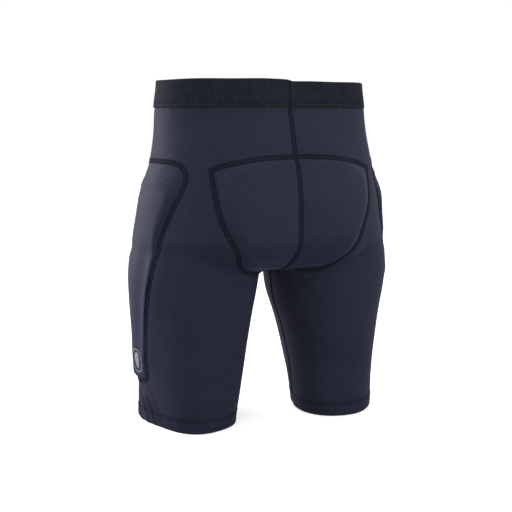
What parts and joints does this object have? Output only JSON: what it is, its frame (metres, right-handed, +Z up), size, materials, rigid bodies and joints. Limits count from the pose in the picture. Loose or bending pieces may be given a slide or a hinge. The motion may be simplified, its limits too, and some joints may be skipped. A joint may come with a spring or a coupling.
{
  "type": "padded impact shorts",
  "caption": "Close-fitting stretch shorts with foam hip pads in long side pockets, seat and tailbone pads under a shield-shaped seat panel, elastic waistband and stitched leg hems.",
  "frame": {"origin": "on the hem plane, in the middle of the shorts' width and of their front-to-back extent", "axes": "+Z up from the hems to the waist, +X to the wearer's left, +Y to the wearer's back"},
  "size_m": [0.3594, 0.2352, 0.45],
  "materials": {
    "waistband_elastic": "ribbed woven elastic, dull",
    "body_knit": "fine stretch knit, slight sheen",
    "panel_knit": "fine stretch knit, slight sheen",
    "hem_knit": "fine stretch knit, folded double",
    "thread": "flatlock stitching, dull",
    "pad_foam": "soft closed-cell foam, matt",
    "mesh_lining": "open mesh, dull",
    "label_tape": "plain woven tape",
    "transfer_print": "heat-transfer film, matt"
  },
  "bodies": {
    "hips": {"waistband": "waistband_elastic", "waistband_join_stitch": "thread", "waistband_seam_stitch": "thread", "body_panel_left": "body_knit", "body_panel_right": "body_knit", "seat_panel_left": "panel_knit", "seat_panel_right": "panel_knit", "seat_pad_left": "pad_foam", "seat_pad_right": "pad_foam", "tailbone_pad": "pad_foam", "seat_lining": "mesh_lining", "seat_top_seam": "thread", "seat_u_seam": "thread", "seat_center_seam": "thread", "center_back_seam": "thread", "center_front_seam": "thread", "care_label": "label_tape", "inseam_upper_left": "thread", "inseam_upper_right": "thread"},
    "leg_left": {"leg_panel_left": "body_knit", "side_panel_left": "panel_knit", "hip_pad_left": "pad_foam", "hip_pad_lining_left": "mesh_lining", "side_panel_seam_left": "thread", "hem_band_left": "hem_knit", "hem_stitch_left": "thread", "inseam_left": "thread", "emblem_left": "transfer_print"},
    "leg_right": {"leg_panel_right": "body_knit", "side_panel_right": "panel_knit", "hip_pad_right": "pad_foam", "hip_pad_lining_right": "mesh_lining", "side_panel_seam_right": "thread", "hem_band_right": "hem_knit", "hem_stitch_right": "thread", "inseam_right": "thread"}
  },
  "joints": [
    {"name": "hip_left", "type": "hinge", "parent": "hips", "child": "leg_left", "pos_m": [0.095, -0.00669, 0.255], "axis": [-1, 0, 0], "range_deg": [-20, 60]},
    {"name": "hip_right", "type": "hinge", "parent": "hips", "child": "leg_right", "pos_m": [-0.095, -0.00669, 0.255], "axis": [-1, 0, 0], "range_deg": [-20, 60]}
  ]
}
